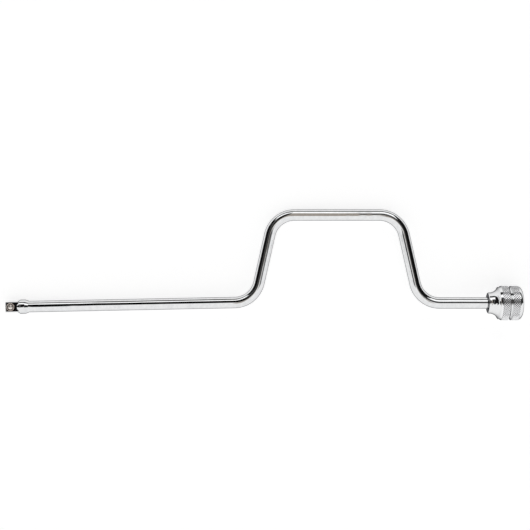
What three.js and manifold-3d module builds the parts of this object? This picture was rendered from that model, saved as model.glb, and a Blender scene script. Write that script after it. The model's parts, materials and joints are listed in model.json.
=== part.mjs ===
// Speed brace: a chromed crank rod with a male drive square, and a knurled palm knob that spins on it.
// Millimetres. The part lies on a bench with +Z up and its origin under the middle of its box.
//
// Tool axes, used until the last section lays the tool down: x runs along the grip's axis from the drive
// square to the knob, with x = 0 at the knob's neck; y runs from that axis to the crank bar; z stands out
// of the crank's plane on the side of the detent ball.
import * as THREE from 'three';
import { mergeVertices } from 'three/addons/utils/BufferGeometryUtils.js';
import Module from 'manifold-3d';

// Rod and crank, along the rod's centreline
const ROD_DIAMETER = 10.4;
const BEND_RADIUS = 23;
const CRANK_THROW = 80.3; // grip axis to crank bar
const CRANK_BAR = 114.5; // corner to corner
const LEG_LEAN = 12.7; // degrees from square, so the crank opens towards the grip
const GRIP_SHANK = 62.2; // corner to the knob's neck
const DRIVE_SHANK = 205.8; // corner to the collar
const DRIVE_SHANK_SET = 1.13; // degrees that the drive shank points away from the crank
const DRIVE_CORNER_RISE = 0.8; // the drive shank's corner above the grip's axis

// Drive end
const COLLAR_DIAMETER = 13;
const COLLAR_LENGTH = 4.8; // cylinder between the two bevels
const COLLAR_BEVEL_TO_SHANK = 3.2;
const COLLAR_BEVEL_TO_SQUARE = 2;
const COLLAR_NOSE_DIAMETER = 10.2; // where the bevel meets the square
const SQUARE_ACROSS_FLATS = 9.5;
const SQUARE_LENGTH = 10.9;
const SQUARE_EDGE_RADIUS = 0.7;
const SQUARE_END_BEVEL = 1.3; // along the axis
const SQUARE_END_DRAW_IN = 1.1; // towards the axis, over that bevel

// Ball detent in the square
const BALL_DIAMETER = 5.56;
const BALL_FROM_END = 4.8;
const BALL_PROUD = 1.18; // above the flat
const BALL_CLEARANCE = 0.17; // in its hole
const HOLE_FLOOR = 1.2; // steel left under the hole
const HOLE_LIP_HEIGHT = 0.85; // mouth peened in over the ball
const STAKE_RING_DIAMETER = 6.5; // groove that the peening tool leaves round the mouth
const STAKE_RING_WIDTH = 0.8;
const STAKE_RING_DEPTH = 0.35;
const SPRING_WIRE = 0.6;
const SPRING_DIAMETER = 3.8; // of the wire's centreline
const SPRING_PITCH = 1.05;

// Journal that the knob turns on
const JOURNAL_DIAMETER = 7.4;
const SHOULDER_DEPTH = 6; // from the neck to the shoulder
const JOURNAL_END_BEVEL = 0.7;
const JOURNAL_PAST_RING = 1.6;

// Knob, outside, from the neck to the palm
const NECK_DIAMETER = 19.2;
const NECK_EDGE_RADIUS = 0.9;
const NECK_STRAIGHT = 1.5;
const FLARE_RADIUS = 8.4; // hollow curve between neck and rim
const FLARE_RIM_DIAMETER = 29.4;
const RIM_LAND = 0.7;
const RIM_BEVEL = 1.7;
const KNOB_DIAMETER = 31.5; // over the knurl's points
const KNURL_BAND = 6.2;
const KNURL_DEPTH = 0.45;
const KNURL_TEETH = 50; // round the knob
const KNURL_ROWS = 6; // half pitches along a band
const KNURL_SEAT = 0.1; // knob's own skin under the knurl's roots
const GROOVE_WIDTH = 2.8;
const GROOVE_DEPTH = 1.4;
const PALM_EDGE_RADIUS = 3.6;
const PALM_CROWN = 0.8;

// Knob, inside
const BUSH_WALL = 0.8;
const BUSH_FLANGE = 1; // thickness
const BUSH_FLANGE_RIM = 1.5; // rear flange past the sleeve
const BUSH_SLEEVE = 6;
const BUSH_SPACING = 1.2; // grease space between the two sleeves
const WASHER_THICKNESS = 0.8;
const REAR_WASHER_DIAMETER = 13.6;
const RING_THICKNESS = 1;
const RING_DEPTH = 0.55; // of its groove in the journal
const RING_WIDTH = 1.9; // of its band
const RING_OPENING = 80; // degrees
const RING_LUG_DIAMETER = 2.6;
const RING_LUG_HOLE = 1.2;
const CHAMBER_DIAMETER = 16.6; // room for the ring and its pliers
const CHAMBER_PAST_JOURNAL = 1.4;
const CAP_DIAMETER = 21;
const CAP_EDGE_BEVEL = 0.4;

// Clearances
const FIT_GAP = 0.1; // between pieces that are pressed or seated together
const RUNNING_GAP = 0.2; // between pieces that turn or slide on each other
const NECK_GAP = 0.4; // rod in the knob's neck
const HEEL_SINK = 0.1; // collar's heel below the rod's skin
const JOIN_OVERLAP = 2; // how far the forms of one solid reach into each other

// Fineness
const ROD_SIDES = 24;
const BEND_STEPS = 9;
const KNOB_SIDES = 40;
const SMALL_SIDES = 32;
const ARC_STEPS = 3; // pairs of facets on an arc of a profile
const SPRING_SIDES = 6;
const SPRING_STEPS = 12; // a turn
const SETTLE_PASSES = 8;

const wasm = await Module();
wasm.setup();

const CHROME = { color: 0xc9ccd0, roughness: 0.1, metalness: 1 };
const KNURLED_CHROME = { color: 0xbfc1c5, roughness: 0.25, metalness: 1 };
const BALL_STEEL = { color: 0x8d8781, roughness: 0.3, metalness: 1 };
const PLAIN_STEEL = { color: 0x9a9da1, roughness: 0.4, metalness: 1 };
const BRONZE = { color: 0xb08a55, roughness: 0.45, metalness: 1 };

const radians = THREE.MathUtils.degToRad;

/** Closed body of a geometry, for joining and cutting. */
function body(geometry) {
  const bare = geometry.clone();
  bare.deleteAttribute('normal');
  bare.deleteAttribute('uv');
  const merged = mergeVertices(bare);
  const corners = merged.index.array;
  const triangles = [];
  for (let i = 0; i < corners.length; i += 3) {
    const [a, b, c] = corners.slice(i, i + 3);
    if (a !== b && b !== c && c !== a) {
      triangles.push(a, b, c);
    }
  }
  return new wasm.Manifold(new wasm.Mesh({
    numProp: 3,
    vertProperties: new Float32Array(merged.attributes.position.array),
    triVerts: new Uint32Array(triangles),
  }));
}

/** Geometry of a body that was joined or cut. */
function geometryOf(joined) {
  const mesh = joined.getMesh();
  const geometry = new THREE.BufferGeometry();
  geometry.setAttribute('position', new THREE.BufferAttribute(mesh.vertProperties, mesh.numProp));
  geometry.setIndex(new THREE.BufferAttribute(mesh.triVerts, 1));
  geometry.computeVertexNormals();
  return geometry;
}

/** Named piece of the tool. */
function piece(name, geometry, finish) {
  const mesh = new THREE.Mesh(geometry, new THREE.MeshStandardMaterial(finish));
  mesh.name = name;
  return mesh;
}

/** Turned form about the x axis, from an outline of (x, radius) points in the order of the outside. */
function turned(outline, sides) {
  const profile = outline.getPoints(ARC_STEPS).map((point) => new THREE.Vector2(point.y, point.x));
  return new THREE.LatheGeometry(profile, sides).rotateZ(-Math.PI / 2);
}

/** Outline through (x, radius) corners. */
function outlineOf(corners) {
  return new THREE.Path(corners.map(([x, radius]) => new THREE.Vector2(x, radius)));
}

/** Plain turned ring. */
function ring(start, length, innerRadius, outerRadius, sides) {
  const end = start + length;
  const corners = [[start, innerRadius], [start, outerRadius], [end, outerRadius], [end, innerRadius]];
  return turned(outlineOf([...corners, corners[0]]), sides);
}

/** Centreline given as sections, so that a straight run has none between its two ends. */
class SectionedLine extends THREE.Curve {
  constructor(sections) {
    super();
    this.sections = sections;
  }

  sectionAt(share) {
    return this.sections[Math.round(share * (this.sections.length - 1))];
  }

  getPointAt(share) {
    return this.sectionAt(share).point.clone();
  }

  getTangentAt(share) {
    return this.sectionAt(share).tangent.clone();
  }
}

/** Sections of a rod that runs through the corners and bends round each inner one. */
function bentSections(corners, bendRadius, bendSteps) {
  const directions = corners.slice(1).map((corner, i) => corner.clone().sub(corners[i]).normalize());
  const sections = [{ point: corners[0], tangent: directions[0] }];
  for (let i = 1; i < corners.length - 1; i += 1) {
    const before = directions[i - 1];
    const after = directions[i];
    const turn = before.angleTo(after);
    const inward = after.clone().addScaledVector(before, -Math.cos(turn)).normalize();
    const start = corners[i].clone().addScaledVector(before, -bendRadius * Math.tan(turn / 2));
    for (let step = 0; step <= bendSteps; step += 1) {
      const angle = (turn * step) / bendSteps;
      const point = start.clone()
        .addScaledVector(before, bendRadius * Math.sin(angle))
        .addScaledVector(inward, bendRadius * (1 - Math.cos(angle)));
      const tangent = before.clone()
        .multiplyScalar(Math.cos(angle))
        .addScaledVector(inward, Math.sin(angle));
      sections.push({ point, tangent });
    }
  }
  sections.push({ point: corners.at(-1), tangent: directions.at(-1) });
  return sections;
}

/** Round bar or wire along sections. */
function roundBar(sections, diameter, sides) {
  const section = new THREE.Shape().absarc(0, 0, diameter / 2, 0, 2 * Math.PI);
  return new THREE.ExtrudeGeometry(section, {
    steps: sections.length - 1,
    curveSegments: sides / 2,
    extrudePath: new SectionedLine(sections),
  });
}

// Crank rod
const rodRadius = ROD_DIAMETER / 2;
const legRun = Math.tan(radians(LEG_LEAN));
const gripCorner = new THREE.Vector3(-GRIP_SHANK, 0, 0);
const barGripCorner = new THREE.Vector3(gripCorner.x - CRANK_THROW * legRun, CRANK_THROW, 0);
const barDriveCorner = new THREE.Vector3(barGripCorner.x - CRANK_BAR, CRANK_THROW, 0);
const driveCorner = new THREE.Vector3(
  barDriveCorner.x - (CRANK_THROW - DRIVE_CORNER_RISE) * legRun,
  DRIVE_CORNER_RISE,
  0,
);
const upward = new THREE.Vector3(0, 0, 1);
const shankOutward = new THREE.Vector3(-1, 0, 0).applyAxisAngle(upward, radians(DRIVE_SHANK_SET));
const collarHeel = driveCorner.clone().addScaledVector(shankOutward, DRIVE_SHANK);

const collarSpan = COLLAR_BEVEL_TO_SHANK + COLLAR_LENGTH + COLLAR_BEVEL_TO_SQUARE;
const squareHalf = SQUARE_ACROSS_FLATS / 2;

/** Moves a form from the drive end's own axes, where x = 0 is the collar's heel, into the tool's axes. */
function atDriveEnd(geometry) {
  return geometry.rotateZ(radians(DRIVE_SHANK_SET)).translate(collarHeel.x, collarHeel.y, collarHeel.z);
}

/** Collar between the shank and the square, bevelled to both. */
function collarForm() {
  const radius = COLLAR_DIAMETER / 2;
  return turned(outlineOf([
    [-collarSpan, 0],
    [-collarSpan, COLLAR_NOSE_DIAMETER / 2],
    [-collarSpan + COLLAR_BEVEL_TO_SQUARE, radius],
    [-COLLAR_BEVEL_TO_SHANK, radius],
    [0, rodRadius - HEEL_SINK],
    [JOIN_OVERLAP, 0],
  ]), ROD_SIDES);
}

/** Square section with rounded corners. */
function roundedSquare(half, radius) {
  const corner = half - radius;
  const section = new THREE.Shape();
  section.absarc(corner, corner, radius, 0, Math.PI / 2);
  section.absarc(-corner, corner, radius, Math.PI / 2, Math.PI);
  section.absarc(-corner, -corner, radius, Math.PI, 1.5 * Math.PI);
  section.absarc(corner, -corner, radius, 1.5 * Math.PI, 2 * Math.PI);
  return section;
}

/** Square section with sharp corners. */
function sharpSquare(half) {
  const corners = [[half, half], [-half, half], [-half, -half], [half, -half]];
  return new THREE.Shape(corners.map(([x, y]) => new THREE.Vector2(x, y)));
}

/** Drive square: a bar with rounded edges, its end drawn in all round. */
function squareForm() {
  const depth = SQUARE_LENGTH + JOIN_OVERLAP;
  const bar = new THREE.ExtrudeGeometry(roundedSquare(squareHalf, SQUARE_EDGE_RADIUS), {
    depth,
    curveSegments: ARC_STEPS,
    bevelEnabled: false,
  });
  const drawnIn = new THREE.ExtrudeGeometry(sharpSquare(squareHalf - SQUARE_END_DRAW_IN), {
    depth,
    bevelThickness: SQUARE_END_BEVEL,
    bevelSize: SQUARE_END_DRAW_IN,
    bevelSegments: ARC_STEPS,
  });
  drawnIn.translate(0, 0, SQUARE_END_BEVEL);
  const square = geometryOf(body(bar).intersect(body(drawnIn)));
  return square.rotateY(Math.PI / 2).translate(-collarSpan - SQUARE_LENGTH, 0, 0);
}

// Ball detent: its hole stands along z in the square
const ballRadius = BALL_DIAMETER / 2;
const ballAlong = BALL_FROM_END - collarSpan - SQUARE_LENGTH;
const ballHeight = squareHalf + BALL_PROUD - ballRadius;
const holeRadius = ballRadius + BALL_CLEARANCE;
const holeFloor = HOLE_FLOOR - squareHalf;

/** Turned form about z over the middle of the detent's hole, in the drive end's axes. */
function atDetent(geometry) {
  return geometry.rotateY(-Math.PI / 2).translate(ballAlong, 0, 0);
}

/** Hole for ball and spring, drawn in at its mouth by peening. */
function detentHole() {
  const ballAtFlat = Math.sqrt(ballRadius ** 2 - (squareHalf - ballHeight) ** 2);
  const mouthRadius = ballAtFlat + BALL_CLEARANCE;
  const above = squareHalf + BALL_PROUD;
  return turned(outlineOf([
    [holeFloor, 0],
    [holeFloor, holeRadius],
    [squareHalf - HOLE_LIP_HEIGHT, holeRadius],
    [squareHalf, mouthRadius],
    [above, mouthRadius],
    [above, 0],
  ]), ROD_SIDES);
}

/** Groove of the peening tool round the hole's mouth. */
function stakeRing() {
  const middle = STAKE_RING_DIAMETER / 2;
  const half = STAKE_RING_WIDTH / 2;
  const floor = [squareHalf - STAKE_RING_DEPTH, middle];
  const above = squareHalf + STAKE_RING_DEPTH;
  return turned(outlineOf([
    floor,
    [squareHalf, middle + half],
    [above, middle + half],
    [above, middle - half],
    [squareHalf, middle - half],
    floor,
  ]), ROD_SIDES);
}

// Stack along the journal, from the rod's shoulder to the palm
const journalRadius = JOURNAL_DIAMETER / 2;
const bushBore = journalRadius + RUNNING_GAP;
const sleeveRadius = bushBore + BUSH_WALL;
const frontWasherStart = SHOULDER_DEPTH + RUNNING_GAP;
const frontFlangeStart = frontWasherStart + WASHER_THICKNESS + RUNNING_GAP;
const webStart = frontFlangeStart + BUSH_FLANGE + FIT_GAP;
const webEnd = webStart + 2 * BUSH_SLEEVE + BUSH_SPACING;
const rearWasherStart = webEnd + FIT_GAP + BUSH_FLANGE + RUNNING_GAP;
const ringStart = rearWasherStart + WASHER_THICKNESS + RUNNING_GAP;
const ringGrooveStart = ringStart - FIT_GAP;
const ringGrooveEnd = ringStart + RING_THICKNESS + FIT_GAP;
const journalEnd = ringGrooveEnd + JOURNAL_PAST_RING;
const chamberEnd = journalEnd + CHAMBER_PAST_JOURNAL;

/** Journal with the groove for the retaining ring. */
function journalForm() {
  const grooveRadius = journalRadius - RING_DEPTH;
  return turned(outlineOf([
    [SHOULDER_DEPTH - JOIN_OVERLAP, 0],
    [SHOULDER_DEPTH - JOIN_OVERLAP, journalRadius],
    [ringGrooveStart, journalRadius],
    [ringGrooveStart, grooveRadius],
    [ringGrooveEnd, grooveRadius],
    [ringGrooveEnd, journalRadius],
    [journalEnd - JOURNAL_END_BEVEL, journalRadius],
    [journalEnd, journalRadius - JOURNAL_END_BEVEL],
    [journalEnd, 0],
  ]), ROD_SIDES);
}

function crankRod() {
  const rodStart = collarHeel.clone().addScaledVector(shankOutward, JOIN_OVERLAP);
  const shoulder = new THREE.Vector3(SHOULDER_DEPTH, 0, 0);
  const corners = [rodStart, driveCorner, barDriveCorner, barGripCorner, gripCorner, shoulder];
  const rod = roundBar(bentSections(corners, BEND_RADIUS, BEND_STEPS), ROD_DIAMETER, ROD_SIDES);
  const joined = body(rod)
    .add(body(atDriveEnd(collarForm())))
    .add(body(atDriveEnd(squareForm())))
    .add(body(journalForm()))
    .subtract(body(atDriveEnd(atDetent(detentHole()))))
    .subtract(body(atDriveEnd(atDetent(stakeRing()))));
  return piece('crank_rod', geometryOf(joined), CHROME);
}

function detentBall() {
  const ball = new THREE.SphereGeometry(ballRadius, ROD_SIDES, ROD_SIDES / 2);
  ball.rotateX(Math.PI / 2).translate(ballAlong, 0, ballHeight);
  return piece('detent_ball', atDriveEnd(ball), BALL_STEEL);
}

/** Coil from the hole's floor to the ball. */
function detentSpring() {
  const coilRadius = SPRING_DIAMETER / 2;
  const wireRadius = SPRING_WIRE / 2;
  const reach = ballRadius + FIT_GAP + wireRadius;
  const bottom = holeFloor + FIT_GAP + wireRadius;
  const top = ballHeight - Math.sqrt(reach ** 2 - coilRadius ** 2);
  const turns = (top - bottom) / SPRING_PITCH;
  const steps = Math.round(turns * SPRING_STEPS);
  const sections = [];
  for (let step = 0; step <= steps; step += 1) {
    const angle = (2 * Math.PI * turns * step) / steps;
    const radial = new THREE.Vector3(Math.cos(angle), Math.sin(angle), 0);
    const point = radial.clone().multiplyScalar(coilRadius);
    point.z = THREE.MathUtils.lerp(bottom, top, step / steps);
    const tangent = new THREE.Vector3(-radial.y, radial.x, 0).multiplyScalar(coilRadius);
    tangent.z = SPRING_PITCH / (2 * Math.PI);
    sections.push({ point, tangent: tangent.normalize() });
  }
  const coil = roundBar(sections, SPRING_WIRE, SPRING_SIDES).translate(ballAlong, 0, 0);
  return piece('detent_spring', atDriveEnd(coil), PLAIN_STEEL);
}

// Knob
const crestRadius = KNOB_DIAMETER / 2;
const rootRadius = crestRadius - KNURL_DEPTH;
const skinRadius = rootRadius - KNURL_SEAT;
const neckRadius = NECK_DIAMETER / 2;
const rimRadius = FLARE_RIM_DIAMETER / 2;
const flareRise = rimRadius - neckRadius;
const flareLength = Math.sqrt(FLARE_RADIUS ** 2 - (FLARE_RADIUS - flareRise) ** 2);
const rimStart = NECK_STRAIGHT + flareLength;
const frontBandStart = rimStart + RIM_LAND + RIM_BEVEL;
const frontBandEnd = frontBandStart + KNURL_BAND;
const rearBandStart = frontBandEnd + GROOVE_WIDTH;
const rearBandEnd = rearBandStart + KNURL_BAND;
const palmRimRadius = rootRadius - PALM_EDGE_RADIUS;
const palmStart = rearBandEnd + PALM_EDGE_RADIUS;
const palmSphere = (palmRimRadius ** 2 + PALM_CROWN ** 2) / (2 * PALM_CROWN);
const capRadius = CAP_DIAMETER / 2;
const capSeatRadius = capRadius + FIT_GAP;

/** Height of the palm's shallow crown along x, at a radius. */
function palmAt(radius) {
  return palmStart + PALM_CROWN - palmSphere + Math.sqrt(palmSphere ** 2 - radius ** 2);
}

/** Ring with a diamond knurl. Crests and roots alternate like the squares of a chessboard, and each
 *  cell is split from root to root, so every crest is the top of a four-sided point. */
function knurledRing(start) {
  const around = 2 * KNURL_TEETH;
  const innerRadius = skinRadius - JOIN_OVERLAP;
  const rows = [];
  for (let row = 0; row <= KNURL_ROWS; row += 1) {
    const inside = row > 0 && row < KNURL_ROWS;
    rows.push({
      x: start + (KNURL_BAND * row) / KNURL_ROWS,
      radiusAt: (i) => (inside && (i + row) % 2 === 1 ? crestRadius : rootRadius),
    });
  }
  rows.push({ x: start + KNURL_BAND, radiusAt: () => innerRadius });
  rows.push({ x: start, radiusAt: () => innerRadius });
  const positions = [];
  const index = [];
  rows.forEach(({ x, radiusAt }, row) => {
    const next = (row + 1) % rows.length;
    for (let i = 0; i < around; i += 1) {
      const angle = (2 * Math.PI * i) / around;
      positions.push(x, radiusAt(i) * Math.cos(angle), radiusAt(i) * Math.sin(angle));
      const a = row * around + i;
      const b = row * around + ((i + 1) % around);
      const c = next * around + ((i + 1) % around);
      const d = next * around + i;
      if ((i + row) % 2 === 0) {
        index.push(a, b, c, a, c, d);
      } else {
        index.push(a, b, d, b, c, d);
      }
    }
  });
  const geometry = new THREE.BufferGeometry();
  geometry.setAttribute('position', new THREE.Float32BufferAttribute(positions, 3));
  geometry.setIndex(index);
  return geometry;
}

function gripKnob() {
  const neckBore = rodRadius + NECK_GAP;
  const webBore = sleeveRadius + FIT_GAP;
  const neckEdge = neckRadius - NECK_EDGE_RADIUS;
  const grooveMiddle = (frontBandEnd + rearBandStart) / 2;
  const outline = new THREE.Path();
  outline.moveTo(0, neckBore);
  outline.lineTo(0, neckEdge);
  outline.absarc(NECK_EDGE_RADIUS, neckEdge, NECK_EDGE_RADIUS, Math.PI, Math.PI / 2, true);
  outline.lineTo(NECK_STRAIGHT, neckRadius);
  const flareEnd = Math.asin(flareLength / FLARE_RADIUS) - Math.PI / 2;
  outline.absarc(NECK_STRAIGHT, neckRadius + FLARE_RADIUS, FLARE_RADIUS, -Math.PI / 2, flareEnd, false);
  outline.lineTo(rimStart + RIM_LAND, rimRadius);
  outline.lineTo(frontBandStart, skinRadius);
  outline.lineTo(frontBandEnd, skinRadius);
  outline.quadraticCurveTo(grooveMiddle, rootRadius - 2 * GROOVE_DEPTH, rearBandStart, skinRadius);
  outline.lineTo(rearBandEnd, skinRadius);
  outline.absarc(rearBandEnd, palmRimRadius, PALM_EDGE_RADIUS, Math.PI / 2, 0, true);
  outline.lineTo(palmAt(capSeatRadius), capSeatRadius);
  outline.lineTo(chamberEnd, capSeatRadius);
  outline.lineTo(chamberEnd, CHAMBER_DIAMETER / 2);
  outline.lineTo(webEnd, CHAMBER_DIAMETER / 2);
  outline.lineTo(webEnd, webBore);
  outline.lineTo(webStart, webBore);
  outline.lineTo(webStart, neckBore);
  outline.lineTo(0, neckBore);
  const joined = body(turned(outline, KNOB_SIDES))
    .add(body(knurledRing(frontBandStart)))
    .add(body(knurledRing(rearBandStart)));
  return piece('grip_knob', geometryOf(joined), KNURLED_CHROME);
}

/** Flanged bush. Its sleeve runs from its flange into the knob's web. */
function bush(name, flangeStart, flangeRadius, sleeveEnd) {
  const flange = ring(flangeStart, BUSH_FLANGE, bushBore, flangeRadius, SMALL_SIDES);
  const start = Math.min(flangeStart, sleeveEnd);
  const end = Math.max(flangeStart + BUSH_FLANGE, sleeveEnd);
  const sleeve = ring(start, end - start, bushBore, sleeveRadius, SMALL_SIDES);
  return piece(name, geometryOf(body(sleeve).add(body(flange))), BRONZE);
}

/** Open ring with a lug and a hole for pliers at each end. */
function retainingRing() {
  const innerRadius = journalRadius - RING_DEPTH + FIT_GAP;
  const outerRadius = innerRadius + RING_WIDTH;
  const halfOpening = radians(RING_OPENING / 2);
  const bandShape = new THREE.Shape();
  bandShape.absarc(0, 0, outerRadius, halfOpening, 2 * Math.PI - halfOpening, false);
  bandShape.absarc(0, 0, innerRadius, 2 * Math.PI - halfOpening, halfOpening, true);
  const plate = { depth: RING_THICKNESS, bevelEnabled: false, curveSegments: SMALL_SIDES / 2 };
  let joined = body(new THREE.ExtrudeGeometry(bandShape, plate));
  const lugAt = innerRadius + RING_LUG_DIAMETER / 2 + RUNNING_GAP;
  for (const side of [-1, 1]) {
    const angle = side * halfOpening;
    const centre = [lugAt * Math.cos(angle), lugAt * Math.sin(angle)];
    const lug = new THREE.Shape().absarc(...centre, RING_LUG_DIAMETER / 2, 0, 2 * Math.PI);
    const hole = new THREE.Shape().absarc(...centre, RING_LUG_HOLE / 2, 0, 2 * Math.PI);
    const drill = new THREE.ExtrudeGeometry(hole, { ...plate, depth: 3 * RING_THICKNESS });
    joined = joined
      .add(body(new THREE.ExtrudeGeometry(lug, plate)))
      .subtract(body(drill.translate(0, 0, -RING_THICKNESS)));
  }
  const geometry = geometryOf(joined).rotateY(Math.PI / 2).translate(ringStart, 0, 0);
  return piece('retaining_ring', geometry, PLAIN_STEEL);
}

/** Plug pressed into the palm end, its face on the palm's crown. */
function palmCap() {
  const start = chamberEnd + FIT_GAP;
  const outline = new THREE.Path();
  outline.moveTo(start, 0);
  outline.lineTo(start, capRadius - CAP_EDGE_BEVEL);
  outline.lineTo(start + CAP_EDGE_BEVEL, capRadius);
  outline.lineTo(palmAt(capRadius) - CAP_EDGE_BEVEL, capRadius);
  const faceRadius = capRadius - CAP_EDGE_BEVEL;
  outline.lineTo(palmAt(faceRadius), faceRadius);
  const tilt = Math.asin(faceRadius / palmSphere);
  outline.absarc(palmStart + PALM_CROWN - palmSphere, 0, palmSphere, tilt, 0, true);
  return piece('palm_cap', turned(outline, KNOB_SIDES), CHROME);
}

const washerBore = journalRadius + FIT_GAP;
const frontWasher = ring(frontWasherStart, WASHER_THICKNESS, washerBore, rodRadius, SMALL_SIDES);
const rearWasherRadius = REAR_WASHER_DIAMETER / 2;
const rearWasher = ring(rearWasherStart, WASHER_THICKNESS, washerBore, rearWasherRadius, SMALL_SIDES);

const rod = crankRod();
const knob = gripKnob();
const tool = new THREE.Group();
tool.add(
  rod,
  detentBall(),
  detentSpring(),
  knob,
  bush('front_bush', frontFlangeStart, rodRadius + RUNNING_GAP, webStart + BUSH_SLEEVE),
  bush('rear_bush', webEnd + FIT_GAP, sleeveRadius + BUSH_FLANGE_RIM, webEnd - BUSH_SLEEVE),
  piece('front_thrust_washer', frontWasher, PLAIN_STEEL),
  piece('rear_thrust_washer', rearWasher, PLAIN_STEEL),
  retainingRing(),
  palmCap(),
);

// Laying the tool down: it rests on the knob, the collar and the crank
function points(mesh) {
  const position = mesh.geometry.attributes.position;
  const pointAt = (_, i) => new THREE.Vector3().fromBufferAttribute(position, i);
  return Array.from({ length: position.count }, pointAt);
}

/** Upward normal of the bench that touches the lowest point of each of three feet. */
function benchNormal(feet) {
  const lowest = (foot, up) => foot.reduce((low, point) => (point.dot(up) < low.dot(up) ? point : low));
  let normal = upward;
  for (let pass = 0; pass < SETTLE_PASSES; pass += 1) {
    const [a, b, c] = feet.map((foot) => lowest(foot, normal));
    normal = b.clone().sub(a).cross(c.clone().sub(a)).normalize();
    normal.multiplyScalar(Math.sign(normal.z));
  }
  return normal;
}

const rodPoints = points(rod);
const crankPoints = rodPoints.filter((point) => point.y > CRANK_THROW / 2);
const drivePoints = rodPoints.filter((point) => point.x < driveCorner.x - BEND_RADIUS);
const normal = benchNormal([points(knob), crankPoints, drivePoints]);
tool.quaternion.setFromUnitVectors(normal, upward);
tool.updateMatrixWorld(true);
const box = new THREE.Box3().setFromObject(tool, true);
const middle = box.getCenter(new THREE.Vector3());
tool.position.set(-middle.x, -middle.y, -box.min.z);

const speedBrace = new THREE.Group();
speedBrace.name = 'speed_brace';
speedBrace.add(tool);

export default speedBrace;
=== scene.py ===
"""Looks of the speed brace: chromed rod, knurled knob and snap ball, in metres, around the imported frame."""
import json
import math

import bmesh
import bpy
from mathutils import Matrix, Vector


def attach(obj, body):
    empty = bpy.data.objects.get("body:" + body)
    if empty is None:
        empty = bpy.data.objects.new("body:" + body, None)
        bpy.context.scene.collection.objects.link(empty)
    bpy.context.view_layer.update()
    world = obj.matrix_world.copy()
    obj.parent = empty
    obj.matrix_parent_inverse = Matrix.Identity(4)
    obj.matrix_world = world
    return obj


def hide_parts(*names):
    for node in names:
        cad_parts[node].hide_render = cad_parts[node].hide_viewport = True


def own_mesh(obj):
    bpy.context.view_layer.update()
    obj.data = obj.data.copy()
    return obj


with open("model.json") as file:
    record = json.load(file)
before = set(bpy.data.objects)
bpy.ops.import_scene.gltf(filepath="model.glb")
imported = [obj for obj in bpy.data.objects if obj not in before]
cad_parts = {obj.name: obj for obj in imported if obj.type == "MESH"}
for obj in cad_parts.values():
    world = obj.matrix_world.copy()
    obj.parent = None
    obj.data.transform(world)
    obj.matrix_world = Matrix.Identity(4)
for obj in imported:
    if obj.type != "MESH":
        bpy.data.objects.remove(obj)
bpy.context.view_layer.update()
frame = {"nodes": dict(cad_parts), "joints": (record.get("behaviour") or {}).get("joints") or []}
scene = bpy.context.scene

# Rod and crank, along the rod's centreline
ROD_RADIUS = 0.0052
BEND_RADIUS = 0.023
CRANK_THROW = 0.0803
CRANK_BAR = 0.1145
LEG_LEAN = math.radians(12.7)
GRIP_SHANK = 0.0622
DRIVE_SHANK = 0.2058
DRIVE_SHANK_SET = math.radians(1.13)
DRIVE_CORNER_RISE = 0.0008

# Drive end
COLLAR_RADIUS = 0.0065
COLLAR_LENGTH = 0.0048
COLLAR_BEVEL_TO_SHANK = 0.0032
COLLAR_BEVEL_TO_SQUARE = 0.002
COLLAR_NOSE_RADIUS = 0.0051
SQUARE_HALF = 0.00475
SQUARE_LENGTH = 0.0109
SQUARE_EDGE_RADIUS = 0.0007
SQUARE_TIP_EDGE_RADIUS = 0.0003
SQUARE_END_BEVEL = 0.0013
SQUARE_END_DRAW_IN = 0.0011

# Ball detent
BALL_RADIUS = 0.00278
BALL_FROM_END = 0.0048
BALL_PROUD = 0.00118
BALL_CLEARANCE = 0.00017
HOLE_FLOOR = 0.0012
HOLE_LIP_HEIGHT = 0.00085
SPRING_WIRE_RADIUS = 0.0003
SPRING_COIL_RADIUS = 0.0019
SPRING_PITCH = 0.00105
SPRING_GAP = 0.0001
STAKE_RING_RADIUS = 0.00325
STAKE_RING_WIDTH = 0.0008
STAKE_RING_DEPTH = 0.00035

# Journal inside the knob
JOURNAL_RADIUS = 0.0037
SHOULDER_DEPTH = 0.006
RING_GROOVE_START = 0.0237
RING_GROOVE_WIDTH = 0.0012
RING_GROOVE_DEPTH = 0.00055
JOURNAL_END = 0.0265
JOURNAL_END_BEVEL = 0.0007

# Knob, from the neck to the palm
NECK_RADIUS = 0.0096
NECK_EDGE_RADIUS = 0.0009
NECK_STRAIGHT = 0.0015
NECK_BORE = 0.0056
FLARE_RADIUS = 0.0084
FLARE_RIM_RADIUS = 0.0147
RIM_LAND = 0.0007
RIM_BEVEL = 0.0017
KNURL_CREST_RADIUS = 0.01575
KNURL_BAND = 0.0062
KNURL_DEPTH = 0.00045
KNURL_TEETH = 50
KNURL_ROWS = 6
KNURL_TIP_SHARE = 0.58
KNURL_EDGE_CHAMFER = 0.3
GROOVE_WIDTH = 0.0028
GROOVE_DEPTH = 0.0014
PALM_EDGE_RADIUS = 0.0036
PALM_CROWN = 0.0008
WEB_START = 0.0083
WEB_END = 0.0215
WEB_BORE = 0.0048
CHAMBER_RADIUS = 0.0083
CHAMBER_END = 0.0279
CAP_RADIUS = 0.0105
CAP_SEAT_GAP = 0.0001
CAP_EDGE_BEVEL = 0.0004

# Fineness
ROD_SIDES = 96
BEND_STEPS = 28
TOOTH_STEPS = 2
SMALL_SIDES = 64
WIRE_SIDES = 12
COIL_STEPS = 36
ARC_STEPS = 14
SOFT_STEPS = 3
EDGE_STEPS = 6
SOFT_EDGE = 0.00025
SOFT_REACH = 0.45
SHARP_TURN = math.radians(20)
CREASE_ANGLE = math.radians(28)
STEP_RUN = 0.00001
GUARD_RUN = 0.00004
WELD = 0.000002

# Photograph
PHOTO_PIXELS = 530
METRES_PER_PIXEL = 0.000913
CAMERA_DISTANCE = 0.95
PHOTO_MIDDLE = Vector((-0.2032, 0.0347, 0))

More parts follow.
